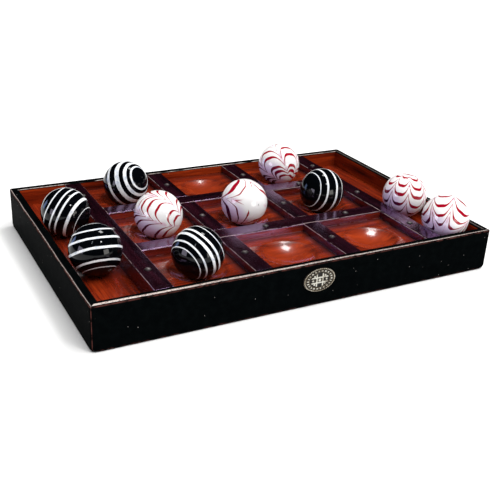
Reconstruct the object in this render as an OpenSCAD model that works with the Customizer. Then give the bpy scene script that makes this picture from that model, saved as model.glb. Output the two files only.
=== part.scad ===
// Tabletop noughts-and-crosses tray with ten glass balls.
// Millimetres. X runs along the front, Y to the back, Z up.
// The origin is the centre of the tray's underside.

/* [Tray] */
// length over the end rails
tray_l = 440; // [440:1:460]
// height of the rails
tray_h = 45; // [44:1:60]
// thickness of each rail
rail_t = 9; // [7:0.5:9]
// radius of the four upright outer corners
corner_r = 3; // [1:0.5:6]
// bevel along the outer foot of the rails
foot_bevel = 2; // [0.5:0.5:3]
// bevel along the upper edges of the rails
rim_bevel = 0.8; // [0.4:0.2:1.5]

/* [Grid] */
// side of each square recess
cell_w = 81; // [76:1:81]
// width of every bar of the grid
bar_w = 19; // [16:1:19]
// how far the bars stop below the rim
bar_drop = 0.3; // [0.2:0.1:2]
// bevel along the upper edges of the bars
bar_bevel = 1; // [0.4:0.2:2]
// depth of each recess below the rim
cell_depth = 9; // [8:0.5:9.5]
// depth of each dimple below its recess
dimple_depth = 8.5; // [6:0.5:8.5]
// radius of each dimple at its mouth
dimple_mouth_r = 28; // [26.5:0.5:32]

/* [Floor] */
// depth of the two end troughs below the rim
trough_depth = 19; // [19:0.5:21]
// thickness of the floor panel
floor_t = 7; // [6:0.5:9]
// how far the floor panel is let into the rails
floor_let_in = 3; // [2:0.5:4]

/* [Balls] */
// diameter of every glass ball
ball_d = 50.5; // [48:0.5:50.5]
// gap left under and beside a resting ball
ball_gap = 0.3; // [0.2:0.1:0.4]

/* [Fittings] */
// diameter of the screw heads
screw_head_d = 7; // [5:0.5:9]
// height of the screw heads
screw_head_h = 1.6; // [1:0.1:2.2]
// diameter of the screw shanks
screw_shank_d = 3; // [2.5:0.5:4]
// overall length of the badge
badge_l = 36; // [30:1:40]
// overall height of the badge
badge_h = 25; // [20:1:26]
// how far the badge's plate stands off the front rail
badge_t = 1.2; // [0.8:0.1:2]

/* [Output] */
// which piece to draw, or all of them

/* [Hidden] */
$fn = 64;
over = 1; // how far a cutting shape runs past what it cuts
cells = 3; // recesses each way
columns = [0 : cells - 1];
bars_along = [0 : cells];
bars_across = [0 : cells - 2];

grid_pitch = cell_w + bar_w;
grid_l = cells * grid_pitch + bar_w;
tray_w = 2 * rail_t + cells * cell_w + (cells - 1) * bar_w;
inside_l = tray_l - 2 * rail_t;
inside_w = tray_w - 2 * rail_t;
trough_w = (inside_l - grid_l) / 2;

floor_top = tray_h - trough_depth;
bar_top = tray_h - bar_drop;
bar_h = bar_top - floor_top;
tile_top = tray_h - cell_depth;
tile_t = tile_top - floor_top;
dimple_r = (dimple_mouth_r * dimple_mouth_r + dimple_depth * dimple_depth) / (2 * dimple_depth);

ball_r = ball_d / 2;
tile_ball_z = tile_top - dimple_depth + ball_gap + ball_r;
trough_ball_z = floor_top + ball_gap + ball_r;
trough_x = inside_l / 2 - trough_w / 2;
front_ball_y = -inside_w / 2 + ball_gap + ball_r;

screw_below_bar = 5;
screw_slot_w = 1.1;
screw_slot_depth = 0.8;
screw_turn = 37; // degrees that each slot is turned past the one before
screw_cap_r = (screw_head_d * screw_head_d / 4 + screw_head_h * screw_head_h) / (2 * screw_head_h);

badge_x = 5;
badge_z = 28;
badge_rim_w = 2.4;
badge_rim_lift = 0.7;
bead_r = 0.8;
bead_count = 36;
emblem_ball_r = 3.2;
emblem_lift = 0.8;
emblem_bar_w = 1.4;
emblem_bar_l = 14;
emblem_gap = 8.5;

paint = [0.03, 0.03, 0.03];
rosewood = [0.22, 0.09, 0.08];
mahogany = [0.52, 0.2, 0.09];
pewter = [0.55, 0.53, 0.45];
black_glass = [0.03, 0.04, 0.05];
white_glass = [0.95, 0.94, 0.93];

// Recess column and row of each ball that rests in the grid, counted from the front left.
black_in_grid = [[0, 0], [2, 1], [0, 2]];
white_in_grid = [[0, 1], [1, 1], [2, 2]];
// How far back each ball in a trough lies from the one place where it touches the front rail.
black_in_trough = [59, 159];
white_in_trough = [0, 71.5];

// Centre of recess column or row i, measured from the middle of the tray.
function cell_at(i) = (i - (cells - 1) / 2) * grid_pitch;

// Centre line of bar i, where bar 0 lies before column or row 0.
function bar_at(i) = cell_at(i) - grid_pitch / 2;

// A rectangle centred on the origin with rounded corners.
module rounded_outline(length, width, radius) {
    square([length - 2 * radius, width], center = true);
    square([length, width - 2 * radius], center = true);
    for (sx = [-1, 1])
        for (sy = [-1, 1])
            translate([sx * (length / 2 - radius), sy * (width / 2 - radius)])
                circle(radius);
}

// The outside of the frame, from which each rail is cut.
module frame_envelope() {
    linear_extrude(tray_h)
        rounded_outline(tray_l, tray_w, corner_r);
}

// Cross-section of a rail: outer face at 0, inner face at rail_t, with a groove for the floor panel.
module rail_profile() {
    difference() {
        polygon([
            [0, foot_bevel],
            [foot_bevel, 0],
            [rail_t, 0],
            [rail_t, tray_h - rim_bevel],
            [rail_t - rim_bevel, tray_h],
            [rim_bevel, tray_h],
            [0, tray_h - rim_bevel]
        ]);
        translate([rail_t - floor_let_in, floor_top - floor_t])
            square([floor_let_in + over, floor_t]);
    }
}

// A rail along the front of a frame that is length by width, mitred at 45 degrees at both ends.
module mitred_rail(length, width) {
    intersection() {
        translate([-length / 2, -width / 2, 0])
            rotate([90, 0, 90])
                linear_extrude(length)
                    rail_profile();
        linear_extrude(tray_h)
            polygon([
                [-length / 2, -width / 2],
                [length / 2, -width / 2],
                [length / 2 - rail_t, -width / 2 + rail_t],
                [-length / 2 + rail_t, -width / 2 + rail_t]
            ]);
    }
}

module rail(turn, length, width) {
    color(paint)
        intersection() {
            frame_envelope();
            rotate([0, 0, turn])
                mitred_rail(length, width);
        }
}

// Where the screws stand: one in the middle of each side that two recesses share or end at.
// Each is turned by its own amount, so that the slots don't line up.
module at_screws() {
    for (i = bars_along)
        for (j = columns)
            translate([bar_at(i), cell_at(j), 0])
                rotate([0, 0, (i * cells + j) * screw_turn])
                    children();
    for (i = columns)
        for (j = bars_across)
            translate([cell_at(i), bar_at(j + 1), 0])
                rotate([0, 0, (i + j * cells) * screw_turn + 90])
                    children();
}

module screw_holes() {
    at_screws()
        translate([0, 0, floor_top - screw_below_bar])
            cylinder(h = bar_h + screw_below_bar + over, d = screw_shank_d);
}

module floor_panel() {
    color(mahogany)
        difference() {
            translate([-inside_l / 2 - floor_let_in, -inside_w / 2 - floor_let_in, floor_top - floor_t])
                cube([inside_l + 2 * floor_let_in, inside_w + 2 * floor_let_in, floor_t]);
            screw_holes();
        }
}

// A square tile with one shallow round dimple in its top.
module tile(column, row) {
    color(mahogany)
        translate([cell_at(column), cell_at(row), 0])
            difference() {
                translate([-cell_w / 2, -cell_w / 2, floor_top])
                    cube([cell_w, cell_w, tile_t]);
                translate([0, 0, tile_top - dimple_depth + dimple_r])
                    sphere(dimple_r, $fn = 120);
            }
}

// Cross-section of a bar, centred, standing on the floor panel.
module bar_profile() {
    polygon([
        [-bar_w / 2, floor_top],
        [bar_w / 2, floor_top],
        [bar_w / 2, bar_top - bar_bevel],
        [bar_w / 2 - bar_bevel, bar_top],
        [-bar_w / 2 + bar_bevel, bar_top],
        [-bar_w / 2, bar_top - bar_bevel]
    ]);
}

// A bar along Y with bevelled upper edges.
module bar_blank(length) {
    translate([0, length / 2, 0])
        rotate([90, 0, 0])
            linear_extrude(length)
                bar_profile();
}

// Square-edged length of bar where another bar crosses or meets it, so that their tops run together.
module crossing_block(width) {
    translate([-width / 2, -bar_w / 2, floor_top])
        cube([width, bar_w, bar_h]);
}

// A bar from front to back. The two inner ones are notched from above for the cross bars.
module long_bar(i) {
    inner = i > 0 && i < cells;
    side = i == 0 ? 1 : -1;
    color(rosewood)
        difference() {
            union() {
                translate([bar_at(i), 0, 0])
                    bar_blank(inside_w);
                if (!inner)
                    for (j = bars_across)
                        translate([bar_at(i) + side * bar_w / 4, bar_at(j + 1), 0])
                            crossing_block(bar_w / 2);
            }
            if (inner)
                for (j = bars_across)
                    translate([bar_at(i), bar_at(j + 1), bar_h / 2])
                        crossing_block(bar_w + 2 * over);
            screw_holes();
        }
}

// A bar across the grid, notched from below where it crosses the two inner long bars.
module cross_bar(j) {
    color(rosewood)
        difference() {
            union() {
                translate([0, bar_at(j + 1), 0])
                    rotate([0, 0, 90])
                        bar_blank(grid_l - 2 * bar_w);
                for (i = [1 : cells - 1])
                    translate([bar_at(i), bar_at(j + 1), 0])
                        crossing_block(bar_w);
            }
            for (i = [1 : cells - 1])
                translate([bar_at(i), bar_at(j + 1), -bar_h / 2])
                    rotate([0, 0, 90])
                        crossing_block(bar_w + 2 * over);
            screw_holes();
        }
}

// One slotted round-head screw, its head resting on top of a bar.
module screw() {
    translate([0, 0, floor_top - screw_below_bar])
        cylinder(h = bar_h + screw_below_bar, d = screw_shank_d);
    difference() {
        intersection() {
            translate([0, 0, bar_top + screw_head_h - screw_cap_r])
                sphere(screw_cap_r);
            translate([0, 0, bar_top])
                cylinder(h = screw_head_h, d = screw_head_d);
        }
        translate([-screw_head_d / 2, -screw_slot_w / 2, bar_top + screw_head_h - screw_slot_depth])
            cube([screw_head_d, screw_slot_w, screw_head_h]);
    }
}

module bar_screws() {
    color(pewter)
        at_screws()
            screw();
}

// An ellipse centred on the badge, in the badge's own plane.
module badge_oval(length, height, thickness) {
    linear_extrude(thickness)
        scale([1, height / length])
            circle(d = length);
}

// A plain grid-and-ball emblem: two bars each way, with one ball in the middle.
module emblem() {
    for (s = [-1, 1]) {
        translate([s * emblem_gap / 2 - emblem_bar_w / 2, -emblem_bar_l / 2, 0])
            cube([emblem_bar_w, emblem_bar_l, emblem_lift]);
        translate([-emblem_bar_l / 2, s * emblem_gap / 2 - emblem_bar_w / 2, 0])
            cube([emblem_bar_l, emblem_bar_w, emblem_lift]);
    }
    cylinder(h = emblem_lift, r = emblem_ball_r);
}

// Round beads set along the raised rim of the badge.
module badge_beads() {
    for (k = [0 : bead_count - 1]) {
        a = k * 360 / bead_count;
        translate([
            (badge_l - badge_rim_w) / 2 * cos(a),
            (badge_h - badge_rim_w) / 2 * sin(a),
            badge_t
        ])
            cylinder(h = badge_rim_lift + bead_r / 2, r = bead_r);
    }
}

module badge() {
    color(pewter)
        translate([badge_x, -tray_w / 2, badge_z])
            rotate([90, 0, 0]) {
                badge_oval(badge_l, badge_h, badge_t);
                difference() {
                    badge_oval(badge_l, badge_h, badge_t + badge_rim_lift);
                    badge_oval(badge_l - 2 * badge_rim_w, badge_h - 2 * badge_rim_w, badge_t + 2 * badge_rim_lift);
                }
                translate([0, 0, badge_t])
                    emblem();
                badge_beads();
            }
}

module ball(shade, place) {
    color(shade)
        translate(place)
            sphere(ball_r, $fn = 96);
}

// Where a ball rests: in the grid for the first three, then in a trough on the side given.
function ball_place(n, in_grid, in_trough, side) =
    n <= len(in_grid)
    ? [cell_at(in_grid[n - 1][0]), cell_at(in_grid[n - 1][1]), tile_ball_z]
    : [side * trough_x, front_ball_y + in_trough[n - 1 - len(in_grid)], trough_ball_z];

module black_ball(n) {
    ball(black_glass, ball_place(n, black_in_grid, black_in_trough, -1));
}

module white_ball(n) {
    ball(white_glass, ball_place(n, white_in_grid, white_in_trough, 1));
}

rail(0, tray_l, tray_w);  // front_rail
rail(180, tray_l, tray_w);  // back_rail
rail(-90, tray_w, tray_l);  // left_rail
rail(90, tray_w, tray_l);  // right_rail
floor_panel();
tile(0, 0);  // tile_1
tile(1, 0);  // tile_2
tile(2, 0);  // tile_3
tile(0, 1);  // tile_4
tile(1, 1);  // tile_5
tile(2, 1);  // tile_6
tile(0, 2);  // tile_7
tile(1, 2);  // tile_8
tile(2, 2);  // tile_9
long_bar(0);  // long_bar_1
long_bar(1);  // long_bar_2
long_bar(2);  // long_bar_3
long_bar(3);  // long_bar_4
cross_bar(0);  // cross_bar_1
cross_bar(1);  // cross_bar_2
bar_screws();
badge();
black_ball(1);  // black_ball_1
black_ball(2);  // black_ball_2
black_ball(3);  // black_ball_3
black_ball(4);  // black_ball_4
black_ball(5);  // black_ball_5
white_ball(1);  // white_ball_1
white_ball(2);  // white_ball_2
white_ball(3);  // white_ball_3
white_ball(4);  // white_ball_4
white_ball(5);  // white_ball_5
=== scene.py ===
"""Looks of a tabletop noughts-and-crosses tray with ten glass balls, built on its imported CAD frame.

Lengths named *_MM are in millimetres, and everything handed to Blender is in metres.
"""

import math

import bmesh
import bpy
from mathutils import Matrix, Vector, noise


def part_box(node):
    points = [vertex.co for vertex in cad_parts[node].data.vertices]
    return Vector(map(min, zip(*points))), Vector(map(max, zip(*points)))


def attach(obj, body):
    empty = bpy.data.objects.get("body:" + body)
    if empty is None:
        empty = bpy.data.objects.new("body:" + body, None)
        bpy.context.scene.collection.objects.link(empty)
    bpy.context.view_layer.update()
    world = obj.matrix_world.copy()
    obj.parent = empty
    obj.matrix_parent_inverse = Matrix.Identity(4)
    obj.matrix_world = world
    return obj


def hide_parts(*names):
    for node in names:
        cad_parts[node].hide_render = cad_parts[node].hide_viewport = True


MM = 0.001

# Sizes, as in part.scad where it has them, used to place wear, painted light and painted shade, and to
# rebuild pieces with softer edges.
TRAY_L_MM = 440.0
TRAY_H_MM = 45.0
RAIL_T_MM = 9.0
CORNER_R_MM = 3.0
FOOT_R_MM = 2.0
RIM_R_MM = 0.8
CELL_W_MM = 81.0
BAR_W_MM = 19.0
PITCH_MM = CELL_W_MM + BAR_W_MM
TRAY_W_MM = 2 * RAIL_T_MM + 3 * CELL_W_MM + 2 * BAR_W_MM
BAR_TOP_MM = TRAY_H_MM - 0.3
TILE_TOP_MM = TRAY_H_MM - 9.0
FLOOR_TOP_MM = TRAY_H_MM - 19.0
TILE_EASED_MM = 0.35
DIMPLE_DEPTH_MM = 8.5
DIMPLE_MOUTH_R_MM = 28.0
BALL_R_MM = 25.25
BADGE_HALF_L_MM = 18.0
BADGE_HALF_H_MM = 12.5

# Colours, linear.
BLACK_PAINT = (0.0009, 0.0014, 0.0016, 1)
BLACK_PAINT_DUSTY = (0.0018, 0.0026, 0.0028, 1)
BARE_WOOD = (0.60, 0.53, 0.49, 1)
BARE_WOOD_RED = (0.15, 0.050, 0.042, 1)
SPECK = (0.34, 0.31, 0.29, 1)
MAHOGANY_DARK = (0.038, 0.005, 0.003, 1)
MAHOGANY_MID = (0.20, 0.017, 0.004, 1)
MAHOGANY_LIGHT = (0.44, 0.048, 0.008, 1)
ROSEWOOD_DARK = (0.004, 0.0010, 0.0020, 1)
ROSEWOOD_MID = (0.014, 0.0022, 0.0048, 1)
ROSEWOOD_LIGHT = (0.034, 0.0050, 0.0105, 1)
# Painted highlight: the pale colour of the lines along the bars' edges.
ROSEWOOD_HIGHLIGHT = (0.36, 0.27, 0.27, 1)
ROSEWOOD_SHEEN = (0.84, 0.50, 1.0, 1)
BRASS = ((0.006, 0.005, 0.004, 1), (0.14, 0.105, 0.060, 1), (0.56, 0.55, 0.49, 1))
PEWTER = ((0.012, 0.009, 0.010, 1), (0.060, 0.050, 0.052, 1), (0.24, 0.215, 0.21, 1))
BLACK_GLASS = (0.0012, 0.0016, 0.0024, 1)
WHITE_THREAD = (0.86, 0.88, 0.90, 1)
WHITE_THREAD_DULL = (0.50, 0.55, 0.64, 1)
WHITE_GLASS = (0.87, 0.86, 0.865, 1)
# Painted shade on the white balls' side away from the light: the lilac ground and the purple threads.
LILAC_SHADE = (0.66, 0.46, 0.86, 1)
CRIMSON = (0.34, 0.002, 0.016, 1)
PURPLE_SHADE = (0.040, 0.002, 0.032, 1)
COMBED_PINK = (0.62, 0.25, 0.42, 1)

# The side of every white ball away from the light, where painted shade turns the ground lilac and the threads
# purple, in the tray's frame.
SHADED_SIDE = Vector((-0.78, -0.10, -0.62))

# How each ball was wound and combed, and how it lies, in degrees except lean, which is in radians.
# A pole is (azimuth, degrees from straight up), and a thread (degrees from the pole, half width in degrees).
# White ones were combed into loops: sag is how deep the loops hang, lean how unevenly they are spaced
# round the pole, and skew how far the threads lie off square. They taper off towards the side that bare
# points to, in the tray's frame.
BLACK_BALLS = (
    dict(
        pole=(203, 108), wobble=5,
        threads=((46, 1.1), (60, 1.9), (79, 3.2), (93, 2.6), (114, 1.3)),
    ),
    dict(
        pole=(3, 103), wobble=5,
        threads=((63, 1.0), (86, 3.0), (112, 2.3), (131, 1.1)),
    ),
    dict(
        pole=(124, 119), wobble=3,
        threads=((44, 0.9), (86, 4.1), (112, 5.6), (133, 4.2), (149, 2.3)),
    ),
    dict(
        pole=(88, 35), wobble=5,
        threads=((26, 0.7), (52, 2.1), (74, 2.4), (96, 2.6), (124, 2.4), (141, 1.1)),
    ),
    dict(
        pole=(135, 70), wobble=3,
        threads=((33, 1.0), (64, 1.8), (84, 1.9), (98, 2.1), (120, 3.6), (142, 0.8)),
    ),
)
WHITE_BALLS = (
    dict(
        pole=(-38, 109), spin=199, wobble=3,
        loops=5, sag=27, lean=-0.23, lean_at=193, skew=-15, skew_at=191,
        threads=((53, 2.4), (73, 2.0), (104, 1.8), (125, 2.0), (144, 2.2), (156, 1.0)),
    ),
    dict(
        pole=(101, 102), spin=108, wobble=3,
        loops=4, sag=36, lean=0.22, lean_at=4, skew=13, skew_at=196,
        threads=((51, 1.1), (87, 4.0), (114, 1.4), (143, 3.2)),
        bare=(0.02, -0.91, 0.41),
    ),
    dict(
        pole=(-82, 123), spin=137, wobble=3,
        loops=5, sag=34, lean=-0.21, lean_at=233, skew=-17, skew_at=185,
        threads=((28, 3.0), (45, 3.2), (60, 2.8), (92, 2.8), (116, 2.4), (145, 1.2)),
    ),
    dict(
        pole=(43, 64), spin=140, wobble=3,
        loops=5, sag=35, lean=-0.48, lean_at=194, skew=6, skew_at=60,
        threads=((48, 1.4), (78, 2.5), (110, 2.8), (135, 2.7), (157, 2.6)),
    ),
    dict(
        pole=(30, 11), spin=84, wobble=3,
        loops=8, sag=30, lean=-0.20, lean_at=197, skew=-10, skew_at=282,
        threads=((20, 2.0), (41, 2.8), (68, 2.6), (91, 2.9), (116, 2.8), (140, 2.6)),
    ),
)
# The higher this is, the narrower are the cusps between a white ball's loops.
LOOP_PINCH = 1.9

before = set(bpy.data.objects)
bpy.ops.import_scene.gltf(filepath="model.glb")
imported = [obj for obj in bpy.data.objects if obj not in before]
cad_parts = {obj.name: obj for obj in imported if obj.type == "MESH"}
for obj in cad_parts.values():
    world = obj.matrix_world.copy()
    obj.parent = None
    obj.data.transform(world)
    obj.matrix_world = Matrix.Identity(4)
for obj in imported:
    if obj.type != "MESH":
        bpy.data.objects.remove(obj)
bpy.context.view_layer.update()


# ---------------------------------------------------------------- node helpers


class Graph:
    """A material's node tree, built from short expressions that return sockets."""

    def __init__(self, name, **fixed):
        self.material = bpy.data.materials.new(name)
        self.material.use_nodes = True
        self.tree = self.material.node_tree
        self.shader = self.tree.nodes["Principled BSDF"]
        for socket, value in fixed.items():
            self.shader.inputs[socket.replace("_", " ")].default_value = value

    def node(self, kind, **settings):
        made = self.tree.nodes.new("ShaderNode" + kind)
        for name, value in settings.items():
            setattr(made, name, value)
        return made

    def feed(self, socket, value):
        if isinstance(value, bpy.types.NodeSocket):
            self.tree.links.new(value, socket)
        else:
            socket.default_value = value

    def paint(self, socket, value):
        """Links a value to one of the shader's inputs."""
        self.feed(self.shader.inputs[socket], value)

    def position(self):
        return self.node("TexCoord").outputs["Object"]

    def axes(self, vector):
        split = self.node("SeparateXYZ")
        self.feed(split.inputs[0], vector)
        return split.outputs[0], split.outputs[1], split.outputs[2]

    def stretched(self, vector, scale):
        mapping = self.node("Mapping")
        self.feed(mapping.inputs["Vector"], vector)
        mapping.inputs["Scale"].default_value = scale
        return mapping.outputs[0]

    def turned(self, vector, turn):
        """A vector turned by a rotation matrix."""
        mapping = self.node("Mapping")
        self.feed(mapping.inputs["Vector"], vector)
        mapping.inputs["Rotation"].default_value = turn.to_euler()
        return mapping.outputs[0]

    def math(self, operation, a, b=0.0):
        made = self.node("Math", operation=operation)
        for socket, value in zip(made.inputs, (a, b)):
            self.feed(socket, value)
        return made.outputs[0]

    def add(self, a, b):
        return self.math("ADD", a, b)

    def minus(self, a, b):
        return self.math("SUBTRACT", a, b)

    def times(self, a, b):
        return self.math("MULTIPLY", a, b)

    def least(self, a, b):
        return self.math("MINIMUM", a, b)

    def most(self, a, b):
        return self.math("MAXIMUM", a, b)

    def step(self, value, low, high):
        """0 below low, 1 above high, and smooth between. Give low above high to turn it round."""
        made = self.node("MapRange", interpolation_type="SMOOTHSTEP")
        self.feed(made.inputs["Value"], value)
        turned = low > high
        made.inputs["From Min"].default_value = min(low, high)
        made.inputs["From Max"].default_value = max(low, high)
        made.inputs["To Min"].default_value = 1.0 if turned else 0.0
        made.inputs["To Max"].default_value = 0.0 if turned else 1.0
        return made.outputs["Result"]

    def band(self, value, low, high, soft):
        """1 between low and high, fading to 0 over soft on both sides."""
        above_low = self.step(value, low - soft, low + soft)
        below_high = self.step(value, high + soft, high - soft)
        return self.times(above_low, below_high)

    def noise(self, vector, scale=1.0, detail=4.0, roughness=0.55, distortion=0.0):
        made = self.node("TexNoise")
        self.feed(made.inputs["Vector"], vector)
        made.inputs["Scale"].default_value = scale
        made.inputs["Detail"].default_value = detail
        made.inputs["Roughness"].default_value = roughness
        made.inputs["Distortion"].default_value = distortion
        return made.outputs["Fac"]

    def specks(self, vector, scale, size):
        """Scattered round specks: 1 at the middle of each, where size is their radius in cells."""
        made = self.node("TexVoronoi")
        self.feed(made.inputs["Vector"], vector)
        made.inputs["Scale"].default_value = scale
        return self.step(made.outputs["Distance"], size, size * 0.5)

    def mix(self, factor, a, b):
        made = self.node("Mix", data_type="RGBA")
        self.feed(made.inputs["Factor"], factor)
        self.feed(made.inputs[6], a)
        self.feed(made.inputs[7], b)
        return made.outputs[2]

    def ramp(self, factor, *stops):
        made = self.node("ValToRGB")
        self.feed(made.inputs[0], factor)
        elements = made.color_ramp.elements
        while len(elements) < len(stops):
            elements.new(0.5)
        for element, (place, colour) in zip(elements, stops):
            element.position = place
            element.color = colour
        return made.outputs[0]

    def bump(self, height, depth_mm, strength=1.0):
        made = self.node("Bump")
        made.inputs["Strength"].default_value = strength
        made.inputs["Distance"].default_value = depth_mm * MM
        self.feed(made.inputs["Height"], height)
        self.paint("Normal", made.outputs[0])


def millimetres(graph):
    """The object coordinates in millimetres, as x, y and z sockets and as one vector."""
    vector = graph.stretched(graph.position(), (1 / MM, 1 / MM, 1 / MM))
    return (*graph.axes(vector), vector)


# ---------------------------------------------------------------- materials


def wood_figure(graph, vector, along):
    """Grain of varnished wood whose fibres run along one axis: a slow figure and fine pores, both 0 to 1."""

    def grain(lengthways, crossways):
        return tuple(lengthways if axis == along else crossways for axis in range(3))

    slow = graph.stretched(vector, grain(0.008, 0.14))
    figure = graph.noise(slow, detail=5, roughness=0.62, distortion=0.25)
    pores = graph.noise(graph.stretched(vector, grain(0.04, 1.1)), detail=3, roughness=0.7)
    return figure, pores


def mahogany_colour(graph, vector, along):
    """Red-brown varnished mahogany, and the pores for its bump."""
    figure, pores = wood_figure(graph, vector, along)
    colour = graph.ramp(figure, (0.30, MAHOGANY_DARK), (0.48, MAHOGANY_MID), (0.72, MAHOGANY_LIGHT))
    streaks = graph.step(pores, 0.62, 0.42)
    return graph.mix(graph.times(streaks, 0.35), colour, MAHOGANY_DARK), pores


def mahogany_material(name, along):
    graph = Graph(name, Coat_Weight=0.6, Coat_Roughness=0.10)
    _, _, _, vector = millimetres(graph)
    colour, pores = mahogany_colour(graph, vector, along)
    graph.paint("Base Color", colour)
    smears = graph.noise(vector, scale=0.03, detail=3)
    graph.paint("Roughness", graph.add(0.16, graph.times(smears, 0.22)))
    graph.bump(pores, 0.05, 0.5)
    return graph.material


def tile_material():
    """Mahogany tiles with painted light in the bowl of the dimple, and painted shade round its lip and along
    the bars.
    """
    graph = Graph("mahogany_tiles", Coat_Roughness=0.10)
    x, y, _, vector = millimetres(graph)
    colour, pores = mahogany_colour(graph, vector, 0)
    # Tiles lie a whole pitch apart, with the middle one at 0.
    off_x = graph.math("PINGPONG", x, PITCH_MM / 2)
    off_y = graph.math("PINGPONG", y, PITCH_MM / 2)
    from_middle = graph.math("SQRT", graph.add(graph.times(off_x, off_x), graph.times(off_y, off_y)))
    smears = graph.noise(vector, scale=0.03, detail=3)
    ragged = graph.noise(vector, scale=0.12, detail=4)
    wander = graph.times(graph.minus(ragged, 0.5), 5)
    lip = graph.band(graph.add(from_middle, wander), DIMPLE_MOUTH_R_MM - 1.5, DIMPLE_MOUTH_R_MM + 0.5, 1.6)
    border = graph.add(graph.most(off_x, off_y), wander)
    border = graph.step(border, CELL_W_MM / 2 - 11.5, CELL_W_MM / 2)
    # Painted shade: darker round the dimple's lip and along the bars, where shade falls; also a little
    # rougher there.
    painted_shade = graph.most(graph.times(lip, 0.35), graph.times(border, 0.8))
    # Painted light: the bowl of the dimple is lighter.
    painted_bowl_light = graph.step(from_middle, DIMPLE_MOUTH_R_MM, DIMPLE_MOUTH_R_MM - 9)
    colour = graph.mix(graph.times(painted_bowl_light, 0.30), colour, MAHOGANY_LIGHT)
    graph.paint("Base Color", graph.mix(painted_shade, colour, MAHOGANY_DARK))
    graph.paint("Roughness", graph.add(graph.add(0.14, graph.times(smears, 0.2)), graph.times(painted_shade, 0.2)))
    graph.paint("Coat Weight", graph.times(graph.minus(1.0, graph.times(lip, 0.8)), 0.6))
    graph.bump(pores, 0.05, 0.5)
    return graph.material


def tray_sides(graph, x, y):
    """Distances in from the tray's short and long sides, and where each rail lies, mitred at the corners."""
    from_short = graph.minus(TRAY_L_MM / 2, graph.math("ABSOLUTE", x))
    from_long = graph.minus(TRAY_W_MM / 2, graph.math("ABSOLUTE", y))
    long_rails = graph.step(graph.minus(from_short, from_long), -0.4, 0.4)
    short_rails = graph.minus(1.0, long_rails)
    rails = {
        "front": graph.times(long_rails, graph.step(y, 10, -10)),
        "back": graph.times(long_rails, graph.step(y, -10, 10)),
        "left": graph.times(short_rails, graph.step(x, 10, -10)),
        "right": graph.times(short_rails, graph.step(x, -10, 10)),
        "short": short_rails,
    }
    return from_short, from_long, rails


def top_wear(graph, x, worn_in, slow, rails):
    """Pale lines rubbed along the rails' tops, widest to the left of the front one, which is scratched."""
    width = graph.add(1.7, graph.times(x, -0.0045))
    front = graph.times(graph.step(worn_in, 1.4, 2.0), graph.step(graph.minus(worn_in, width), 2.5, 1.8))
    scratch = graph.times(graph.band(worn_in, 2.5, 3.0, 0.25), graph.step(x, -170, -90))
    lines = {
        "front": graph.times(front, graph.minus(1.0, graph.times(scratch, 0.9))),
        "left": graph.times(graph.band(worn_in, 0.8, 1.5, 0.3), 0.55),
        "back": graph.times(graph.band(worn_in, 7.6, 8.6, 0.3), graph.step(slow, 0.40, 0.52)),
        "right": graph.times(graph.band(worn_in, 5.2, 6.2, 0.5), 0.25),
    }
    pale_lines = 0.0
    for rail, line in lines.items():
        pale_lines = graph.most(pale_lines, graph.times(rails[rail], line))
    return pale_lines


def rim_wear(graph, z, inward, ragged):
    """A thin line rubbed along the outer edge of the rails' tops."""
    edge = graph.times(graph.band(z, TRAY_H_MM - 1.1, TRAY_H_MM, 0.2), graph.step(inward, 0.9, 0.5))
    return graph.times(graph.times(edge, graph.step(ragged, 0.36, 0.62)), 0.5)


def corner_wear(graph, from_short, from_long, ragged):
    """A thin line rubbed down each upright corner."""
    gap = graph.math("ABSOLUTE", graph.minus(from_short, from_long))
    line = graph.times(graph.step(gap, 0.8, 0.3), graph.step(graph.add(from_short, from_long), 3.0, 2.4))
    return graph.times(graph.times(line, graph.step(ragged, 0.38, 0.56)), 0.6)


def foot_wear(graph, z, wander, ragged):
    """A thin line rubbed along the foot of the rails."""
    line = graph.band(graph.add(z, graph.times(wander, 0.4)), 1.3, 2.0, 0.3)
    return graph.times(graph.times(line, graph.step(ragged, 0.46, 0.60)), 0.5)


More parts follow.
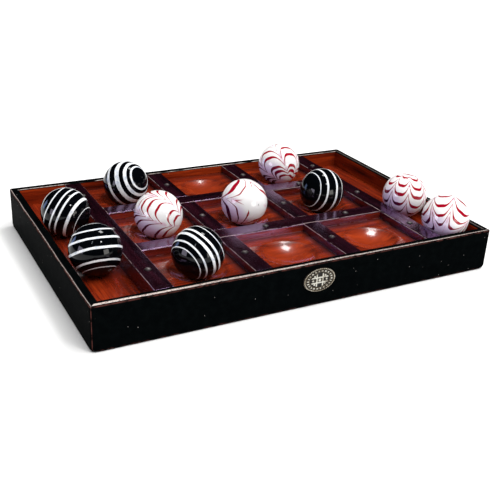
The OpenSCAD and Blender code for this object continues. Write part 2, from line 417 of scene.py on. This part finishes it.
def rail_material():
    """Black paint worn to bare wood in lines along the edges, with varnished mahogany on the inside faces."""
    graph = Graph("black_paint", Specular_IOR_Level=0.001)
    x, y, z, vector = millimetres(graph)
    from_short, from_long, rails = tray_sides(graph, x, y)
    inward = graph.least(from_short, from_long)
    slow = graph.noise(vector, scale=0.03, detail=2)
    ragged = graph.noise(vector, scale=0.12, detail=6, roughness=0.65)
    fine = graph.noise(vector, scale=0.9, detail=3, roughness=0.6)
    wander = graph.add(graph.times(graph.minus(slow, 0.5), 1.8), graph.times(graph.minus(fine, 0.5), 0.9))

    worn_top = top_wear(graph, x, graph.add(inward, wander), slow, rails)
    worn_top = graph.times(graph.step(z, TRAY_H_MM - 1.3, TRAY_H_MM - 0.6), worn_top)
    worn_corner = corner_wear(graph, from_short, from_long, ragged)
    worn_edge = graph.most(rim_wear(graph, z, inward, ragged), worn_corner)
    worn_edge = graph.most(foot_wear(graph, z, wander, ragged), worn_edge)
    specks = graph.times(graph.specks(vector, 0.13, 0.068), graph.step(ragged, 0.44, 0.50))

    mahogany, pores = mahogany_colour(graph, vector, 0)
    mahogany = graph.mix(rails["short"], mahogany, mahogany_colour(graph, vector, 1)[0])
    below_rim = graph.step(z, TRAY_H_MM - 0.5, TRAY_H_MM - 1.3)
    inside = graph.times(graph.step(inward, RAIL_T_MM - 0.6, RAIL_T_MM - 0.2), below_rim)
    paint = graph.mix(graph.step(ragged, 0.35, 0.75), BLACK_PAINT, BLACK_PAINT_DUSTY)
    pale = graph.mix(graph.step(fine, 0.34, 0.52), BARE_WOOD_RED, BARE_WOOD)
    colour = graph.mix(worn_edge, graph.mix(inside, paint, mahogany), BARE_WOOD_RED)
    colour = graph.mix(worn_top, colour, pale)
    graph.paint("Base Color", graph.mix(graph.times(specks, 0.7), colour, SPECK))
    graph.paint("Roughness", graph.add(0.28, graph.times(ragged, 0.22)))
    chipped = graph.most(worn_top, graph.most(worn_corner, specks))
    graph.bump(graph.minus(graph.times(pores, 0.3), chipped), 0.08, 0.5)
    return graph.material


def bar_highlight_lines(graph, x, z, across, ragged):
    """Painted highlights: pale lines along the upper edges of the bars, and fainter ones where they meet the
    tiles.
    """
    # Bars lie a whole pitch apart, and none lies at 0 along the axis that they are spread over.
    off_centre = graph.math("PINGPONG", graph.add(across, 10.5 * PITCH_MM), PITCH_MM / 2)
    off_centre = graph.add(off_centre, graph.minus(ragged, 0.5))
    edge = graph.step(off_centre, BAR_W_MM / 2 - 0.8, BAR_W_MM / 2 - 0.4)
    edge = graph.times(edge, graph.step(z, BAR_TOP_MM - 0.9, BAR_TOP_MM - 0.5))
    edge = graph.times(edge, graph.step(ragged, 0.32, 0.50))
    between_tiles = graph.step(graph.math("ABSOLUTE", x), 1.5 * PITCH_MM + 5, 1.5 * PITCH_MM)
    foot = graph.times(graph.band(z, TILE_TOP_MM, TILE_TOP_MM + 0.6, 0.2), between_tiles)
    foot = graph.times(foot, graph.step(ragged, 0.42, 0.52))
    return graph.most(edge, graph.times(foot, 0.35))


def bar_material(name, along, painted_side_light):
    """Dark rosewood bars with painted highlights along their edges. The last argument is how much lighter
    mahogany their sides show, painted light that stands for light on the cross bars' front sides.
    """
    graph = Graph(name, IOR=1.9, Specular_IOR_Level=1.0, Specular_Tint=ROSEWOOD_SHEEN)
    x, y, z, vector = millimetres(graph)
    figure, pores = wood_figure(graph, vector, along)
    rosewood = graph.ramp(figure, (0.32, ROSEWOOD_DARK), (0.5, ROSEWOOD_MID), (0.70, ROSEWOOD_LIGHT))
    rosewood = graph.mix(graph.times(graph.step(pores, 0.60, 0.40), 0.5), rosewood, ROSEWOOD_DARK)
    mahogany, _ = mahogany_colour(graph, vector, along)
    ragged = graph.noise(vector, scale=0.10, detail=5, roughness=0.6)
    side = graph.step(graph.add(z, graph.minus(ragged, 0.5)), BAR_TOP_MM - 1.2, BAR_TOP_MM - 1.7)
    # Painted light: the sides below the top show lighter mahogany, as much as the last argument says.
    colour = graph.mix(graph.times(side, painted_side_light), rosewood, mahogany)
    # Painted highlights: pale lines along the bars' upper edges and at their feet.
    pale_lines = bar_highlight_lines(graph, x, z, x if along == 1 else y, ragged)
    graph.paint("Base Color", graph.mix(pale_lines, colour, ROSEWOOD_HIGHLIGHT))
    graph.paint("Roughness", graph.add(0.09, graph.times(ragged, 0.20)))
    graph.bump(pores, 0.05, 0.6)
    return graph.material


def metal_material(name, tones, metallic, low_mm, high_mm, faces_front=False):
    """Tarnished metal, dark in its low places and bright on its high ones. It faces up or to the front."""
    graph = Graph(name, Metallic=metallic)
    _, y, z, vector = millimetres(graph)
    height = graph.times(y, -1) if faces_front else z
    tarnish = graph.noise(vector, scale=0.5, detail=5, roughness=0.65)
    level = graph.add(height, graph.times(graph.minus(tarnish, 0.5), (high_mm - low_mm) * 0.9))
    middle_mm = (low_mm + high_mm) / 2
    dark, middle, bright = tones
    patches = graph.step(graph.noise(vector, scale=0.13, detail=2), 0.48, 0.60)
    bright = graph.mix(graph.times(patches, 0.6), bright, middle)
    colour = graph.mix(graph.step(level, low_mm, middle_mm), dark, middle)
    graph.paint("Base Color", graph.mix(graph.step(level, middle_mm, high_mm), colour, bright))
    graph.paint("Roughness", graph.add(0.24, graph.times(tarnish, 0.3)))
    graph.bump(tarnish, 0.04, 0.5)
    return graph.material


def glass_coordinates(graph, turn):
    """A ball's coordinates square to the tray, the same turned so that Z runs to its pole, and two noises."""
    _, _, _, square = millimetres(graph)
    vector = graph.turned(square, turn.inverted())
    stir = graph.minus(graph.noise(vector, scale=0.035, detail=2), 0.5)
    ragged = graph.noise(vector, scale=0.16, detail=3)
    return square, graph.axes(vector), stir, ragged


def pole_angle(graph, ball, z, stir):
    """Degrees from the pole, stirred a little so that threads waver."""
    share = graph.most(graph.least(graph.math("DIVIDE", z, BALL_R_MM), 1.0), -1.0)
    angle = graph.times(graph.math("ARCCOSINE", share), math.degrees(1))
    return graph.add(angle, graph.times(stir, ball["wobble"]))


def comb(graph, ball, from_pole, x, y):
    """Pulls rings round the pole into loops: the angle to wind threads at, and 0 at cusps to 1 at crests."""
    around = graph.math("ARCTAN2", y, x)
    skewed = graph.math("COSINE", graph.minus(around, math.radians(ball["skew_at"])))
    lean = graph.math("SINE", graph.minus(around, math.radians(ball["lean_at"])))
    around = graph.add(around, graph.times(lean, ball["lean"]))
    loop = graph.math("ABSOLUTE", graph.math("SINE", graph.times(around, ball["loops"] / 2)))
    pulled = graph.math("POWER", graph.minus(1.0, loop), LOOP_PINCH)
    pulled = graph.times(graph.times(pulled, ball["sag"]), graph.step(from_pole, 10, 55))
    return graph.add(graph.add(from_pole, pulled), graph.times(skewed, ball["skew"])), loop


def wind(graph, ball, from_pole, ragged, fullness=1.0, kept=1.0):
    """1 on the threads, 0 between them. Fullness scales their width, and they end where kept is 0."""
    lost = graph.times(graph.minus(1.0, kept), 0.4)
    threads = 0.0
    for middle, half in ball["threads"]:
        off = graph.math("ABSOLUTE", graph.minus(from_pole, middle))
        width = graph.times(graph.add(half * 0.65, graph.times(ragged, half * 0.7)), fullness)
        width = graph.minus(graph.times(width, kept), lost)
        threads = graph.most(threads, graph.step(graph.minus(width, off), -0.35, 0.35))
    return threads


def facing(graph, square, side):
    """How squarely each point of a ball faces a side: 1 at its middle, 0 a quarter turn away."""
    product = graph.node("VectorMath", operation="DOT_PRODUCT")
    graph.feed(product.inputs[0], square)
    graph.feed(product.inputs[1], side / BALL_R_MM)
    return product.outputs["Value"]


def polish_glass(graph, threads, ground, colour):
    """Glossy glass with threads that stand out a little."""
    graph.paint("Base Color", graph.mix(threads, ground, colour))
    graph.paint("Roughness", graph.add(0.03, graph.times(threads, 0.07)))
    graph.bump(threads, 0.05, 0.3)
    return graph.material


def black_glass(name, ball, turn):
    """Black glass wound with white threads round the pole that turn takes from straight up."""
    graph = Graph(name, Specular_IOR_Level=0.22)
    _, (_, _, z), stir, ragged = glass_coordinates(graph, turn)
    threads = wind(graph, ball, pole_angle(graph, ball, z, stir), ragged)
    colour = graph.mix(graph.step(ragged, 0.45, 0.72), WHITE_THREAD, WHITE_THREAD_DULL)
    return polish_glass(graph, threads, BLACK_GLASS, colour)


def white_glass(name, ball, turn):
    """White glass with crimson threads combed into loops up to the pole, and painted shade on the side away
    from the light, where the ground turns lilac and the threads purple.
    """
    graph = Graph(name)
    square, (x, y, z), stir, ragged = glass_coordinates(graph, turn)
    from_pole, loop = comb(graph, ball, pole_angle(graph, ball, z, stir), x, y)
    fullness = graph.add(0.78, graph.times(loop, 0.72))
    kept = graph.step(facing(graph, square, Vector(ball["bare"])), 0.92, 0.74) if "bare" in ball else 1.0
    threads = wind(graph, ball, from_pole, ragged, fullness, kept)
    combed = graph.times(graph.step(loop, 0.42, 0.05), graph.step(ragged, 0.42, 0.62))
    combed = graph.times(combed, kept)
    # Painted shade: lilac ground and purple threads on the side away from the light.
    shaded = graph.step(graph.add(facing(graph, square, SHADED_SIDE), graph.times(stir, 0.6)), 0.25, 0.85)
    ground = graph.mix(graph.times(shaded, 0.75), WHITE_GLASS, LILAC_SHADE)
    ground = graph.mix(graph.times(combed, 0.5), ground, COMBED_PINK)
    return polish_glass(graph, threads, ground, graph.mix(shaded, CRIMSON, PURPLE_SHADE))


# ---------------------------------------------------------------- mesh helpers


def new_piece(name, vertices, faces, material, smooth=True):
    """A mesh object made from points in metres."""
    mesh = bpy.data.meshes.new(name)
    mesh.from_pydata(vertices, [], faces)
    mesh.validate()
    mesh.materials.append(material)
    for polygon in mesh.polygons:
        polygon.use_smooth = smooth
    piece = bpy.data.objects.new(name, mesh)
    bpy.context.scene.collection.objects.link(piece)
    return piece


def grid_faces(rows, columns, closed=False):
    """Quads of a grid of points, numbered row by row. A closed grid joins its last column to its first."""
    faces = []
    for i in range(rows - 1):
        near = i * columns
        far = near + columns
        for j in range(columns if closed else columns - 1):
            after = (j + 1) % columns
            faces.append((near + j, near + after, far + after, far + j))
    return faces


def smooth_by_angle(piece, degrees=35):
    """Shades a piece smooth but keeps its sharp edges."""
    mesh = piece.data
    work = bmesh.new()
    work.from_mesh(mesh)
    bmesh.ops.recalc_face_normals(work, faces=work.faces)
    for edge in work.edges:
        if len(edge.link_faces) == 2:
            edge.smooth = edge.calc_face_angle() < math.radians(degrees)
    work.to_mesh(mesh)
    work.free()


def soften(piece, width_mm, segments=2):
    """Rounds a CAD piece's sharp edges with modifiers, which leave its mesh as it is."""
    weld = piece.modifiers.new("weld", "WELD")
    weld.merge_threshold = 0.01 * MM
    bevel = piece.modifiers.new("soft_edges", "BEVEL")
    bevel.width = width_mm * MM
    bevel.segments = segments
    bevel.limit_method = "ANGLE"
    bevel.angle_limit = math.radians(28)
    bevel.harden_normals = True


def give(piece, material):
    """Gives a piece one material in place of all that it has."""
    piece.data.materials.clear()
    piece.data.materials.append(material)


# ---------------------------------------------------------------- rails


def rounded_corner(centre_d, centre_z, radius, start, end, steps):
    """Points of an arc in a rail's cross-section, as (distance inward, height)."""
    points = []
    for k in range(steps + 1):
        angle = math.radians(start + (end - start) * k / steps)
        points.append((centre_d + radius * math.cos(angle), centre_z + radius * math.sin(angle)))
    return points


def rail_section(foot_r):
    """Cross-section of a rail from its inner foot, round the outside, to the top of its inner face."""
    section = [(RAIL_T_MM, 0.0), (RAIL_T_MM * 0.75, 0.0)]
    section += rounded_corner(foot_r, foot_r, foot_r, 270, 180, 6)
    section += [(0.0, z) for z in (9.0, 16.0, 23.0, 30.0, 37.0)]
    section += rounded_corner(RIM_R_MM, TRAY_H_MM - RIM_R_MM, RIM_R_MM, 180, 90, 4)
    section += [(d, TRAY_H_MM) for d in (2.5, 4.5, 6.5)]
    section += rounded_corner(RAIL_T_MM - RIM_R_MM, TRAY_H_MM - RIM_R_MM, RIM_R_MM, 90, 0, 4)
    section += [(RAIL_T_MM, z) for z in (38.0, 30.0, 19.0)]
    return section


def nick(x, d, z):
    """How far in millimetres a worn spot on an outer edge is rubbed away."""
    rim_reach = 1.6
    foot_reach = 2.4
    at_rim = max(0.0, 1.0 - abs(z - TRAY_H_MM) / rim_reach) * max(0.0, 1.0 - d / rim_reach)
    at_foot = max(0.0, 1.0 - z / foot_reach) * max(0.0, 1.0 - d / foot_reach)
    rubbed = max(0.0, noise.noise(Vector((x * 0.045, d * 0.3, z * 0.05))))
    return (0.35 * at_rim + 0.5 * at_foot) * rubbed


def rail_outline(half):
    """Where a rail is cut: each cut is (how far along it, angle round an upright corner or None)."""
    spans = 90
    corner = (9, 18, 27, 36, 45)
    straight = half - CORNER_R_MM
    cuts = [(-half, angle) for angle in reversed(corner)]
    cuts += [(straight * (2 * k / spans - 1), None) for k in range(spans + 1)]
    cuts += [(half, angle) for angle in corner]
    return cuts


def rail_point(half, cut, d, z):
    """A point at a distance inward from the rail's outer face: (along, inward, up)."""
    along, angle = cut
    if angle is None:
        return min(max(along, -half + d), half - d), d, z
    radius = max(CORNER_R_MM - d, 0.0)
    centre = max(CORNER_R_MM, d)
    turned = math.radians(angle)
    x = half - centre + radius * math.sin(turned)
    return math.copysign(x, along), centre - radius * math.cos(turned), z


def rail_piece(name, length, width, turn, material):
    """One rail like its CAD node, mitred and with rounded upright corners, but with rubbed edges."""
    half = length / 2
    # Each rail takes its nicks from its own stretch of noise.
    shift = 1000 * turn
    cuts = rail_outline(half)
    around = len(rail_section(FOOT_R_MM))
    vertices = []
    for cut in cuts:
        near_end = math.exp(-(((half - abs(cut[0])) / 3.5) ** 2))
        for d, z in rail_section(FOOT_R_MM + 3.0 * near_end):
            x, inward, up = rail_point(half, cut, d, z)
            inward += nick(x + shift, d, z) * (1 - near_end)
            vertices.append(Vector((x, -width / 2 + inward, up)) * MM)
    faces = grid_faces(len(cuts), around, closed=True)
    faces.append(list(range(around)))
    faces.append([len(vertices) - around + k for k in range(around)])
    piece = new_piece(name, vertices, faces, material)
    piece.data.transform(Matrix.Rotation(math.radians(turn), 4, "Z"))
    smooth_by_angle(piece)
    return piece


def build_rails():
    material = rail_material()
    rails = (
        ("front_rail", TRAY_L_MM, TRAY_W_MM, 0),
        ("right_rail", TRAY_W_MM, TRAY_L_MM, 90),
        ("back_rail", TRAY_L_MM, TRAY_W_MM, 180),
        ("left_rail", TRAY_W_MM, TRAY_L_MM, 270),
    )
    for node, length, width, turn in rails:
        piece = rail_piece("worn_" + node, length, width, turn, material)
        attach(piece, "tray")
        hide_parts(node)


# ---------------------------------------------------------------- recesses


def dimple_drop(distance):
    """How far a tile's top dips at a distance from its middle: a round dimple with a soft lip."""
    bowl_r = (DIMPLE_MOUTH_R_MM**2 + DIMPLE_DEPTH_MM**2) / (2 * DIMPLE_DEPTH_MM)
    inside = bowl_r**2 - distance**2
    depth = math.sqrt(inside) - (bowl_r - DIMPLE_DEPTH_MM) if inside > 0 else -distance
    softness = 1.3
    soft = 0.5 * (depth + math.sqrt(depth * depth + softness * softness))
    return min(soft, DIMPLE_DEPTH_MM)


def tile_lines():
    """Where a tile's grid lines run, from its middle, with a close pair along each eased edge."""
    steps = 64
    half = CELL_W_MM / 2
    inner = half - TILE_EASED_MM
    lines = [-half, -inner]
    lines += [-inner + 2 * inner * k / steps for k in range(1, steps)]
    return lines + [inner, half]


def grid_rim(count):
    """Numbers of the points round the outside of a square grid."""
    rim = list(range(count))
    rim += [i * count + count - 1 for i in range(1, count)]
    rim += [(count - 1) * count + j for j in range(count - 2, -1, -1)]
    rim += [i * count for i in range(count - 2, 0, -1)]
    return rim


def tile_piece(name, centre, material):
    """A square tile whose dimple has a rounded lip, with eased edges against the bars."""
    lines = tile_lines()
    vertices = []
    for y in lines:
        for x in lines:
            at_edge = max(abs(x), abs(y)) >= lines[-1]
            drop = TILE_EASED_MM if at_edge else dimple_drop(math.hypot(x, y))
            vertices.append(Vector((centre.x / MM + x, centre.y / MM + y, TILE_TOP_MM - drop)) * MM)
    faces = grid_faces(len(lines), len(lines))
    rim = grid_rim(len(lines))
    foot = [len(vertices) + k for k in range(len(rim))]
    vertices += [Vector((vertices[point].x, vertices[point].y, FLOOR_TOP_MM * MM)) for point in rim]
    for k in range(len(rim)):
        after = (k + 1) % len(rim)
        faces.append((rim[after], rim[k], foot[k], foot[after]))
    faces.append(foot)
    piece = new_piece(name, vertices, faces, material)
    smooth_by_angle(piece, 40)
    return piece


def build_tiles():
    material = tile_material()
    for number in range(1, 10):
        node = f"tile_{number}"
        low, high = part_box(node)
        piece = tile_piece("dimpled_" + node, (low + high) / 2, material)
        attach(piece, "tray")
        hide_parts(node)


def finish_cad_nodes():
    """Softer edges and varnish for the CAD nodes that keep their own shape."""
    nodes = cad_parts
    # The last number of each is painted light: how much lighter mahogany the bars' sides show, most on the
    # cross bars, whose sides face the front.
    bars = (
        ("long_bar", 4, bar_material("rosewood_long", 1, 0.03)),
        ("cross_bar", 2, bar_material("rosewood_cross", 0, 0.8)),
    )
    for kind, count, material in bars:
        for number in range(1, count + 1):
            give(nodes[f"{kind}_{number}"], material)
            soften(nodes[f"{kind}_{number}"], 0.35)
    give(nodes["floor_panel"], mahogany_material("mahogany_floor", 1))
    give(nodes["bar_screws"], metal_material("screw_metal", PEWTER, 0.4, BAR_TOP_MM + 0.2, BAR_TOP_MM + 1.5))
    soften(nodes["bar_screws"], 0.15)


# ---------------------------------------------------------------- badge


def smooth_step(value, low, high):
    share = min(max((value - low) / (high - low), 0.0), 1.0)
    return share * share * (3 - 2 * share)


def ridge(value, middle, half, soft):
    """1 on a ridge round middle, falling to 0 past half on each side."""
    return 1 - smooth_step(abs(value - middle), half, half + soft)


def knob(x, y, flat_r, foot_r):
    """1 on a round knob at the origin, falling to 0 at its foot."""
    return 1 - smooth_step(math.hypot(x, y), flat_r, foot_r)


def badge_border(radius, angle):
    """Height in millimetres of a ring of beads and a ring of dashes, with a plain ridge inside each."""
    beads = 0.5 + 0.5 * math.cos(angle * 48)
    dashes = 1 if math.cos(angle * 22 + 0.6) > -0.1 else 0
    height = ridge(radius, 0.93, 0.02, 0.05) * (0.35 + 0.45 * beads)
    height += ridge(radius, 0.83, 0.008, 0.02) * 0.35
    height += ridge(radius, 0.745, 0.045, 0.02) * 0.75 * dashes
    height += ridge(radius, 0.66, 0.008, 0.02) * 0.45
    return height


def badge_lattice(x, y, radius):
    """Height in millimetres of two pairs of crossed bars with knobs among them, on a stippled ground."""
    inner = 1 - smooth_step(radius, 0.54, 0.60)
    bar = 0.0
    for side in (-1, 1):
        bar = max(bar, ridge(x, side * 3.4, 0.60, 0.35), ridge(y, side * 2.7, 0.55, 0.35))
    height = bar * inner * 0.7 + knob(x, y, 0.9, 2.1)
    for side in (-1, 1):
        height += knob(x - side * 7.6, y, 0.8, 1.5) * 0.8
        for end in (-1, 1):
            height += knob(x - side * 5.9, y - end * 4.4, 0.7, 1.4) * 0.8 * inner
    stipple = 0.10 * math.sin(x * 4.2) * math.sin(y * 4.2)
    return height + stipple * (1 - bar) * (1 - smooth_step(radius, 0.56, 0.62))


def badge_relief(x, y):
    """Height in millimetres of the badge's face above its backing, for a point on its own plane."""
    radius = math.hypot(x / BADGE_HALF_L_MM, y / BADGE_HALF_H_MM)
    angle = math.atan2(y / BADGE_HALF_H_MM, x / BADGE_HALF_L_MM)
    dome = 1.2 + 0.25 * (1 - radius)
    return dome + badge_border(radius, angle) + badge_lattice(x, y, radius)


def badge_ring(share, spokes):
    """Points round the badge at a share of the way out to its rim, in millimetres on its own plane."""
    points = []
    for j in range(spokes):
        angle = 2 * math.pi * j / spokes
        points.append((BADGE_HALF_L_MM * share * math.cos(angle), BADGE_HALF_H_MM * share * math.sin(angle)))
    return points


def build_badge():
    low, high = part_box("badge")
    centre = (low + high) / 2
    depth_mm = (high.y - low.y) / MM
    spokes = 192
    circles = 64
    hub = 0.02
    points = []
    for i in range(circles):
        ring = badge_ring(hub + (1 - hub) * i / circles, spokes)
        points += [(x, y, min(badge_relief(x, y), depth_mm)) for x, y in ring]
    for rim_height in (0.7, 0.0):
        points += [(x, y, rim_height) for x, y in badge_ring(1.0, spokes)]
    vertices = [Vector((centre.x + x * MM, high.y - up * MM, centre.z + y * MM)) for x, y, up in points]
    faces = grid_faces(circles + 2, spokes, closed=True)
    faces.append(list(range(spokes)))
    faces.append([len(vertices) - spokes + j for j in range(spokes)])
    back = -high.y / MM
    material = metal_material("badge_metal", BRASS, 0.6, back + 1.42, back + 1.95, faces_front=True)
    piece = new_piece("oval_badge", vertices, faces, material)
    smooth_by_angle(piece, 60)
    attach(piece, "tray")
    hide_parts("badge")


# ---------------------------------------------------------------- balls


def ball_mesh(name, material):
    """A blown-glass ball: round, with the faint flat at each pole where the rod was cut off and ground."""
    rings = 96
    spokes = 128
    flat_mm = 0.10
    flat_spread = 0.10
    vertices = []
    for i in range(1, rings):
        polar = math.pi * i / rings
        around = math.sin(polar)
        radius = BALL_R_MM - flat_mm * math.exp(-((around / flat_spread) ** 2))
        for j in range(spokes):
            angle = 2 * math.pi * j / spokes
            place = Vector((around * math.cos(angle), around * math.sin(angle), math.cos(polar)))
            vertices.append(place * radius * MM)
    faces = grid_faces(rings - 1, spokes, closed=True)
    top = len(vertices)
    vertices.append(Vector((0, 0, (BALL_R_MM - flat_mm) * MM)))
    vertices.append(Vector((0, 0, -(BALL_R_MM - flat_mm) * MM)))
    last = (rings - 2) * spokes
    for j in range(spokes):
        after = (j + 1) % spokes
        faces.append((top, j, after))
        faces.append((top + 1, last + after, last + j))
    return new_piece(name, vertices, faces, material)


def ball_turn(ball):
    """The turn that spins a ball about its pole, then takes the pole from straight up to where it points."""
    azimuth, tilt = ball["pole"]
    turn = Matrix.Rotation(math.radians(azimuth), 4, "Z") @ Matrix.Rotation(math.radians(tilt), 4, "Y")
    return turn @ Matrix.Rotation(math.radians(ball.get("spin", 0)), 4, "Z")


def place_ball(kind, number, ball, glass):
    """Puts a glass ball where its CAD node is. Glass is the function that makes its material."""
    node = f"{kind}_ball_{number}"
    slot = f"{kind}_glass"
    low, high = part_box(node)
    turn = ball_turn(ball)
    piece = ball_mesh("glass_" + node, glass(f"{slot}_{number}", ball, turn))
    piece.data.transform(turn)
    piece.matrix_world = Matrix.Translation((low + high) / 2)
    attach(piece, f"{kind}_{number}")
    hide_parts(node)


def build_balls():
    for kind, balls, glass in (("black", BLACK_BALLS, black_glass), ("white", WHITE_BALLS, white_glass)):
        for number, ball in enumerate(balls, 1):
            place_ball(kind, number, ball, glass)


# ---------------------------------------------------------------- stage


def build_camera():
    """The photo's camera: in front of the tray and to its left, rolled a little."""
    data = bpy.data.cameras.new("camera")
    data.lens = 57.62
    camera = bpy.data.objects.new("camera", data)
    bpy.context.scene.collection.objects.link(camera)
    place = Vector((-0.3849, -0.7187, 0.3709))
    aim = Vector((-0.0195, -0.0542, 0.022))
    level = (aim - place).to_track_quat("-Z", "Y").to_matrix().to_4x4()
    roll = Matrix.Rotation(math.radians(2.926), 4, "Z")
    camera.matrix_world = Matrix.Translation(place) @ level @ roll
    bpy.context.scene.camera = camera


def towards(azimuth, elevation, distance):
    """The point a distance in metres from the tray, in a direction given in degrees."""
    angle = math.radians(azimuth)
    rise = math.radians(elevation)
    across = distance * math.cos(rise)
    return Vector((across * math.cos(angle), across * math.sin(angle), distance * math.sin(rise)))


def lamp_at(name, kind, place, colour):
    """A lamp that faces the tray."""
    data = bpy.data.lights.new(name, kind)
    data.color = colour
    lamp = bpy.data.objects.new(name, data)
    bpy.context.scene.collection.objects.link(lamp)
    tray_middle = Vector((0, 0, 0.03))
    aimed = (tray_middle - place).to_track_quat("-Z", "Y").to_matrix().to_4x4()
    lamp.matrix_world = Matrix.Translation(place) @ aimed
    return lamp


def softbox(name, place, size, radiance, colour=(1, 1, 1), only_mirrored=False):
    """A rectangular area lamp, as bright in a mirror as its radiance says. It may only be mirrored."""
    lamp = lamp_at(name, "AREA", place, colour)
    lamp.data.shape = "RECTANGLE"
    lamp.data.size, lamp.data.size_y = size
    lamp.data.energy = radiance * math.pi * size[0] * size[1]
    lamp.visible_diffuse = not only_mirrored


def build_floor():
    """A wide, dull white floor, a hair below the tray."""
    graph = Graph("pale_floor", Roughness=0.9, Specular_IOR_Level=0.1)
    graph.paint("Base Color", (0.92, 0.92, 0.92, 1))
    reach = 6.0
    height = -0.0002
    corners = [Vector((x * reach, y * reach, height)) for x, y in ((-1, -1), (1, -1), (1, 1), (-1, 1))]
    new_piece("floor", corners, [(0, 1, 2, 3)], graph.material, smooth=False)


def build_lights():
    """The sun only brightens. The softboxes are also, or only, what glass and varnish mirror."""
    sun = lamp_at("main_light", "SUN", towards(-50, 64, 3.0), (1.0, 0.99, 0.97))
    sun.data.energy = 2.3
    sun.data.angle = math.radians(50)
    sun.visible_glossy = False
    softbox("overhead", towards(35, 70, 1.5), (0.30, 0.30), 20)
    softbox("window_right", towards(-69, 11, 1.3), (0.52, 0.42), 7, (1.0, 0.97, 0.92), True)
    softbox("window_left", towards(-172, 12, 1.3), (0.50, 0.42), 7, (0.86, 0.80, 1.0), True)
    softbox("window_back", towards(135, 10, 1.3), (0.30, 0.42), 4, (0.40, 0.55, 1.0), True)
    softbox("strip", towards(-135, 50, 1.3), (0.04, 0.26), 14, (0.85, 0.92, 1.0))
    softbox("lamp", towards(-80, 54, 1.3), (0.11, 0.11), 60)


def build_surroundings():
    """White surroundings that brighten everything but are not mirrored."""
    world = bpy.data.worlds.new("studio")
    world.use_nodes = True
    background = world.node_tree.nodes["Background"]
    background.inputs["Color"].default_value = (1, 1, 1, 1)
    background.inputs["Strength"].default_value = 0.62
    bpy.context.scene.world = world
    world.cycles_visibility.glossy = False
    bpy.context.scene.view_settings.view_transform = "Standard"


build_camera()
build_floor()
build_lights()
build_surroundings()
build_rails()
build_tiles()
finish_cad_nodes()
build_badge()
build_balls()
